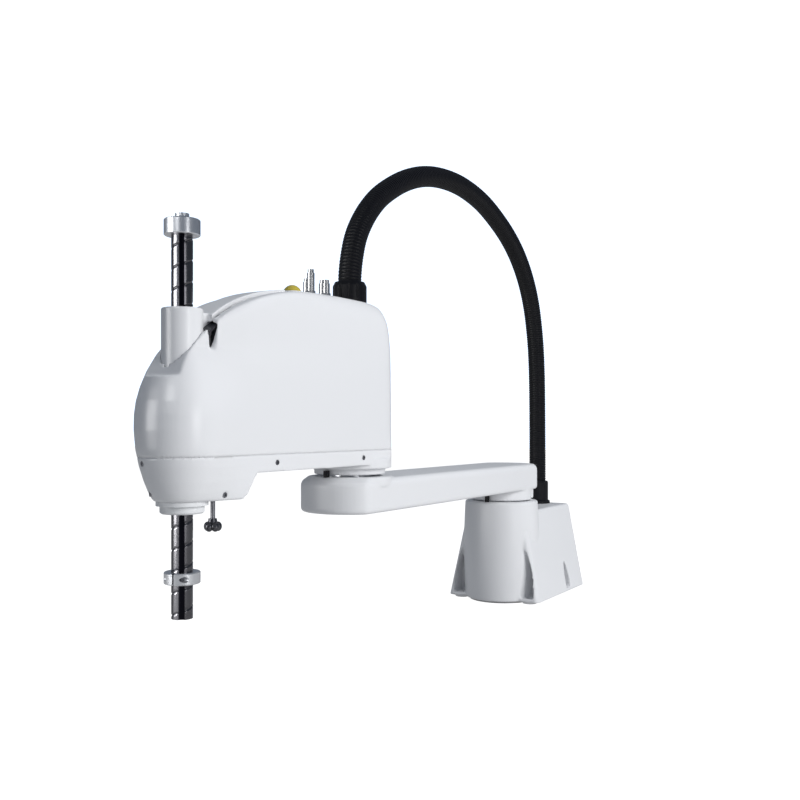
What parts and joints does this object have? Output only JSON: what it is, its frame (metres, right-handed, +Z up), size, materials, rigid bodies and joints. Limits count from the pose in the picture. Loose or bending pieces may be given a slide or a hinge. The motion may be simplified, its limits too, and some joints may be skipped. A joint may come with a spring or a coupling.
{
  "type": "scara robot",
  "caption": "Horizontal-arm assembly robot: bolt-down base, jointed inner and outer arms, hollow lifting and turning spindle, and an overhead cable conduit.",
  "frame": {"origin": "shoulder axis where it meets the mounting floor", "axes": "+X along the stretched arm towards the spindle, +Y to the arm's left, +Z up the joint axes"},
  "size_m": [0.9286, 0.1548, 0.6355],
  "materials": {
    "casting_white": "satin powder coat",
    "cover_white": "gloss paint",
    "spindle_steel": "ground",
    "machined_aluminium": "machined",
    "motor_black": "satin",
    "plate_grey": "satin",
    "nickel": "nickel plated",
    "black_rubber": "matte",
    "black_plastic": "matte",
    "white_plastic": "satin",
    "lamp_amber": "translucent gloss",
    "screw_steel": "zinc plated"
  },
  "bodies": {
    "base": {"base_casting": "casting_white", "base_floor_plate": "plate_grey", "connector_panel": "plate_grey", "motor_connector": "nickel", "signal_connector": "nickel", "base_air_ports": "nickel", "panel_screws": "screw_steel", "shoulder_motor": "motor_black", "shoulder_reducer": "machined_aluminium", "shoulder_stop_pin": "black_rubber", "base_conduit_gland": "black_rubber"},
    "inner_arm": {"inner_arm_casting": "casting_white", "shoulder_output": "machined_aluminium", "elbow_reducer": "machined_aluminium", "elbow_stop_pin": "black_rubber", "cable_conduit": "black_plastic"},
    "outer_arm": {"outer_arm_pan": "casting_white", "outer_arm_cover": "cover_white", "spine_cover": "cover_white", "elbow_output": "machined_aluminium", "elbow_motor": "motor_black", "drive_bracket": "plate_grey", "spin_motor": "motor_black", "lift_motor": "motor_black", "spin_belt": "black_rubber", "lift_belt": "black_rubber", "lower_bearing_housing": "machined_aluminium", "upper_bearing_housing": "machined_aluminium", "spindle_seal_ring": "white_plastic", "knob_stud": "screw_steel", "arm_conduit_gland": "black_plastic", "lamp_base": "white_plastic", "status_lamp": "lamp_amber", "air_fittings": "nickel", "cover_screws": "screw_steel"},
    "spline_rotor": {"spline_nut": "spindle_steel", "spline_pulley": "machined_aluminium"},
    "screw_rotor": {"screw_nut": "spindle_steel", "screw_pulley": "machined_aluminium"},
    "spindle": {"spindle_shaft": "spindle_steel", "upper_stop_collar": "machined_aluminium", "lower_stop_collar": "machined_aluminium", "collar_screws": "screw_steel", "shaft_end_plug": "machined_aluminium"},
    "spin_drive": {"spin_motor_pulley": "machined_aluminium"},
    "lift_drive": {"lift_motor_pulley": "machined_aluminium"},
    "knob": {"star_knob": "machined_aluminium"}
  },
  "joints": [
    {"name": "shoulder", "type": "hinge", "parent": "base", "child": "inner_arm", "pos_m": [0, 0, 0.1555], "axis": [0, 0, 1], "range_deg": [-132, 132], "deforming": ["cable_conduit"]},
    {"name": "elbow", "type": "hinge", "parent": "inner_arm", "child": "outer_arm", "pos_m": [0.425, 0, 0.215], "axis": [0, 0, 1], "range_deg": [-150, 150]},
    {"name": "spindle_turn", "type": "hinge", "parent": "outer_arm", "child": "spline_rotor", "pos_m": [0.7, 0, 0.22], "axis": [0, 0, 1], "range_deg": [-360, 360]},
    {"name": "spindle_lift", "type": "slide", "parent": "spline_rotor", "child": "spindle", "axis": [0, 0, 1], "range_m": [-0.146, 0.054]},
    {"name": "screw_nut_turn", "type": "hinge", "parent": "spline_rotor", "child": "screw_rotor", "pos_m": [0.7, 0, 0.285], "axis": [0, 0, 1], "range_deg": [-990, 2640]},
    {"name": "spin_motor_turn", "type": "hinge", "parent": "outer_arm", "child": "spin_drive", "pos_m": [0.61, 0, 0.2475], "axis": [0, 0, 1], "range_deg": [-721, 721]},
    {"name": "lift_motor_turn", "type": "hinge", "parent": "outer_arm", "child": "lift_drive", "pos_m": [0.53, 0, 0.2635], "axis": [0, 0, 1], "range_deg": [-1960, 5280]},
    {"name": "knob_turn", "type": "hinge", "parent": "outer_arm", "child": "knob", "pos_m": [0.659, 0, 0.176], "axis": [0, 0, 1], "range_deg": [-180, 180]}
  ],
  "couplings": [
    {"joint": "screw_nut_turn", "follows": "spindle_lift", "rad_per_m": -314.16},
    {"joint": "spin_motor_turn", "follows": "spindle_turn", "ratio": 2},
    {"joint": "lift_motor_turn", "follows": "spindle_lift", "rad_per_m": -628.32}
  ]
}
